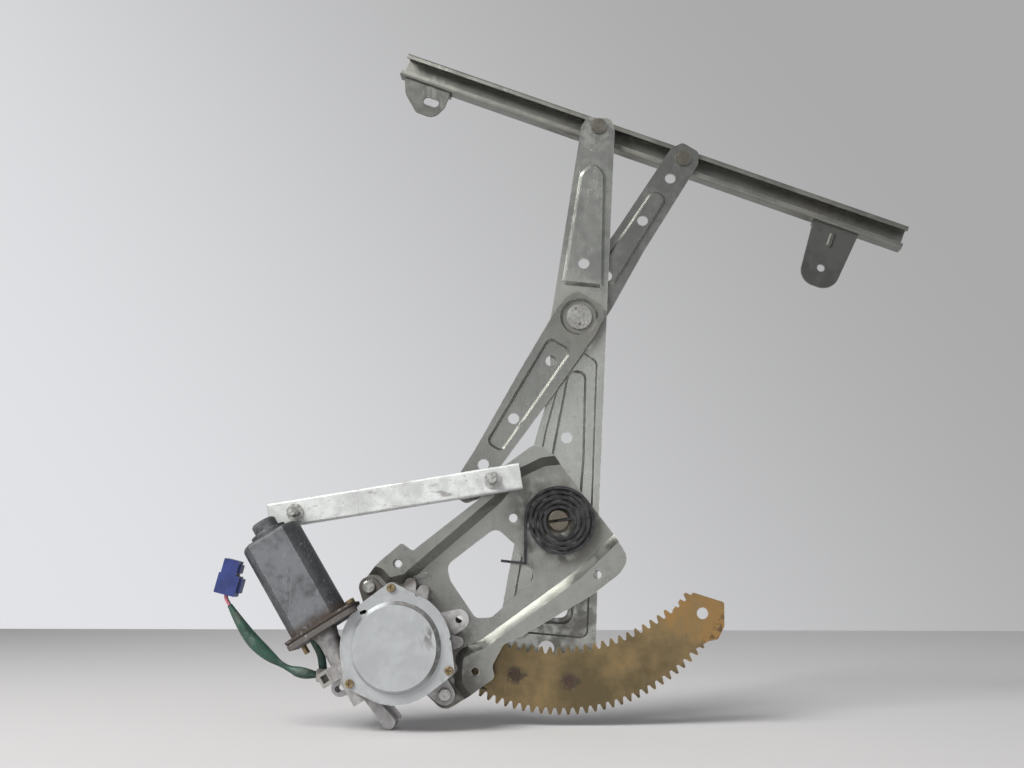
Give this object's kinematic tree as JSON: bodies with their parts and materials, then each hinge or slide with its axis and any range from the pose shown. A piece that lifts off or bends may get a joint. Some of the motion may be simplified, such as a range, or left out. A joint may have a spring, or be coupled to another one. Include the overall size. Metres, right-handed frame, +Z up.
{
  "type": "window regulator",
  "caption": "Scissor-arm power window regulator: pressed base plate with worm gearmotor, toothed sector arm, equaliser, lift rail and guide rail.",
  "frame": {"origin": "main pivot axis in the plane of the base plate's mounting face", "axes": "+X right seen from the cabin, +Z up, +Y away from the cabin, square to the base plate"},
  "size_m": [0.4993, 0.075, 0.5061],
  "materials": {
    "zinc_sheet": "dull grey-green zinc passivate",
    "zinc_bright": "bright zinc",
    "zinc_yellow": "yellow iridescent zinc, greasy",
    "spring_steel": "black oiled spring steel",
    "cast_aluminium": "die cast",
    "cover_zinc": "light grey zinc sheet",
    "can_paint": "dark grey paint",
    "rail_white": "off-white paint",
    "steel": "turned steel",
    "nylon": "natural nylon",
    "roller_plastic": "black acetal",
    "rubber_black": "black rubber",
    "bronze": "sintered bronze",
    "copper": "copper",
    "ferrite": "ferrite",
    "laminations": "steel laminations",
    "carbon": "carbon",
    "phenolic": "brown phenolic",
    "sleeve_green": "dark green sleeve",
    "wire_pink": "pink insulation",
    "plug_blue": "blue nylon"
  },
  "bodies": {
    "base": {"base_plate": "zinc_sheet", "panel_nuts": "zinc_bright", "main_pivot_bush": "steel", "balance_spring": "spring_steel", "gear_housing": "cast_aluminium", "housing_cover": "cover_zinc", "cover_screws": "zinc_yellow", "housing_bolts": "zinc_bright", "motor_can": "can_paint", "can_bushing": "bronze", "worm_bushings": "bronze", "gasket": "rubber_black", "motor_screws": "zinc_yellow", "magnets": "ferrite", "brush_holder": "phenolic", "brushes": "carbon", "motor_lead": "sleeve_green", "lead_stub": "sleeve_green", "lead_wires": "wire_pink", "cable_clip": "nylon", "plug": "plug_blue"},
    "armature": {"armature": "laminations", "windings": "copper", "commutator": "copper", "worm": "steel"},
    "gear_shaft": {"worm_wheel": "nylon", "damper": "rubber_black", "drive_pinion": "steel"},
    "main_arm": {"main_arm": "zinc_sheet", "sector_gear": "zinc_yellow", "sector_rivets": "zinc_bright", "main_pivot_shaft": "steel", "lift_pin": "steel", "cross_washer": "nylon"},
    "equaliser": {"equaliser_lower_arm": "zinc_sheet", "equaliser_upper_arm": "zinc_sheet", "cross_pivot": "zinc_bright", "equaliser_pin": "steel", "guide_pin": "steel"},
    "lift_roller": {"lift_roller": "roller_plastic"},
    "lift_rail": {"lift_rail": "zinc_sheet", "left_glass_bracket": "zinc_bright", "right_glass_bracket": "zinc_bright"},
    "equaliser_roller": {"equaliser_roller": "roller_plastic"},
    "guide_roller": {"guide_roller": "roller_plastic"},
    "fixed_rail": {"fixed_rail": "rail_white", "fixed_rail_studs": "zinc_bright"}
  },
  "joints": [
    {"name": "armature_spin", "type": "hinge", "parent": "base", "child": "armature", "pos_m": [-0.14067, -0.022, -0.10465], "axis": [-0.5225, 0, 0.8526], "range_deg": [0, 100254]},
    {"name": "gear_shaft_spin", "type": "hinge", "parent": "base", "child": "gear_shaft", "pos_m": [-0.1104, 0, -0.0861], "axis": [0, 1, 0], "range_deg": [-1617, 0]},
    {"name": "main_arm_swing", "type": "hinge", "parent": "base", "child": "main_arm", "pos_m": [0, 0, 0], "axis": [0, 1, 0], "range_deg": [0, 98], "deforming": ["balance_spring"]},
    {"name": "equaliser_swing", "type": "hinge", "parent": "main_arm", "child": "equaliser", "pos_m": [0.0162, 0.013, 0.14912], "axis": [0, 1, 0], "range_deg": [0, 60]},
    {"name": "lift_rail_tilt", "type": "hinge", "parent": "main_arm", "child": "lift_roller", "pos_m": [0.0324, 0.029, 0.29824], "axis": [0, 1, 0], "range_deg": [0, 28.44]},
    {"name": "lift_rail_slide", "type": "slide", "parent": "lift_roller", "child": "lift_rail", "axis": [0.9317, 0, -0.3633], "range_m": [-0.03, 0.03]},
    {"name": "equaliser_roller_spin", "type": "hinge", "parent": "equaliser", "child": "equaliser_roller", "pos_m": [0.09637, 0.029, 0.27353], "axis": [0, 1, 0], "continuous": true},
    {"name": "fixed_rail_swing", "type": "hinge", "parent": "equaliser", "child": "guide_roller", "pos_m": [-0.06397, -0.005, 0.02472], "axis": [0, 1, 0], "range_deg": [0, 60]},
    {"name": "fixed_rail_slide", "type": "slide", "parent": "guide_roller", "child": "fixed_rail", "axis": [0.9877, 0, 0.1564], "range_m": [0, 0.1]}
  ],
  "couplings": [
    {"joint": "main_arm_swing", "follows": "armature_spin", "ratio": 0.00097752},
    {"joint": "gear_shaft_spin", "follows": "armature_spin", "ratio": -0.016129},
    {"joint": "lift_rail_tilt", "follows": "equaliser_swing", "ratio": 0.474}
  ]
}
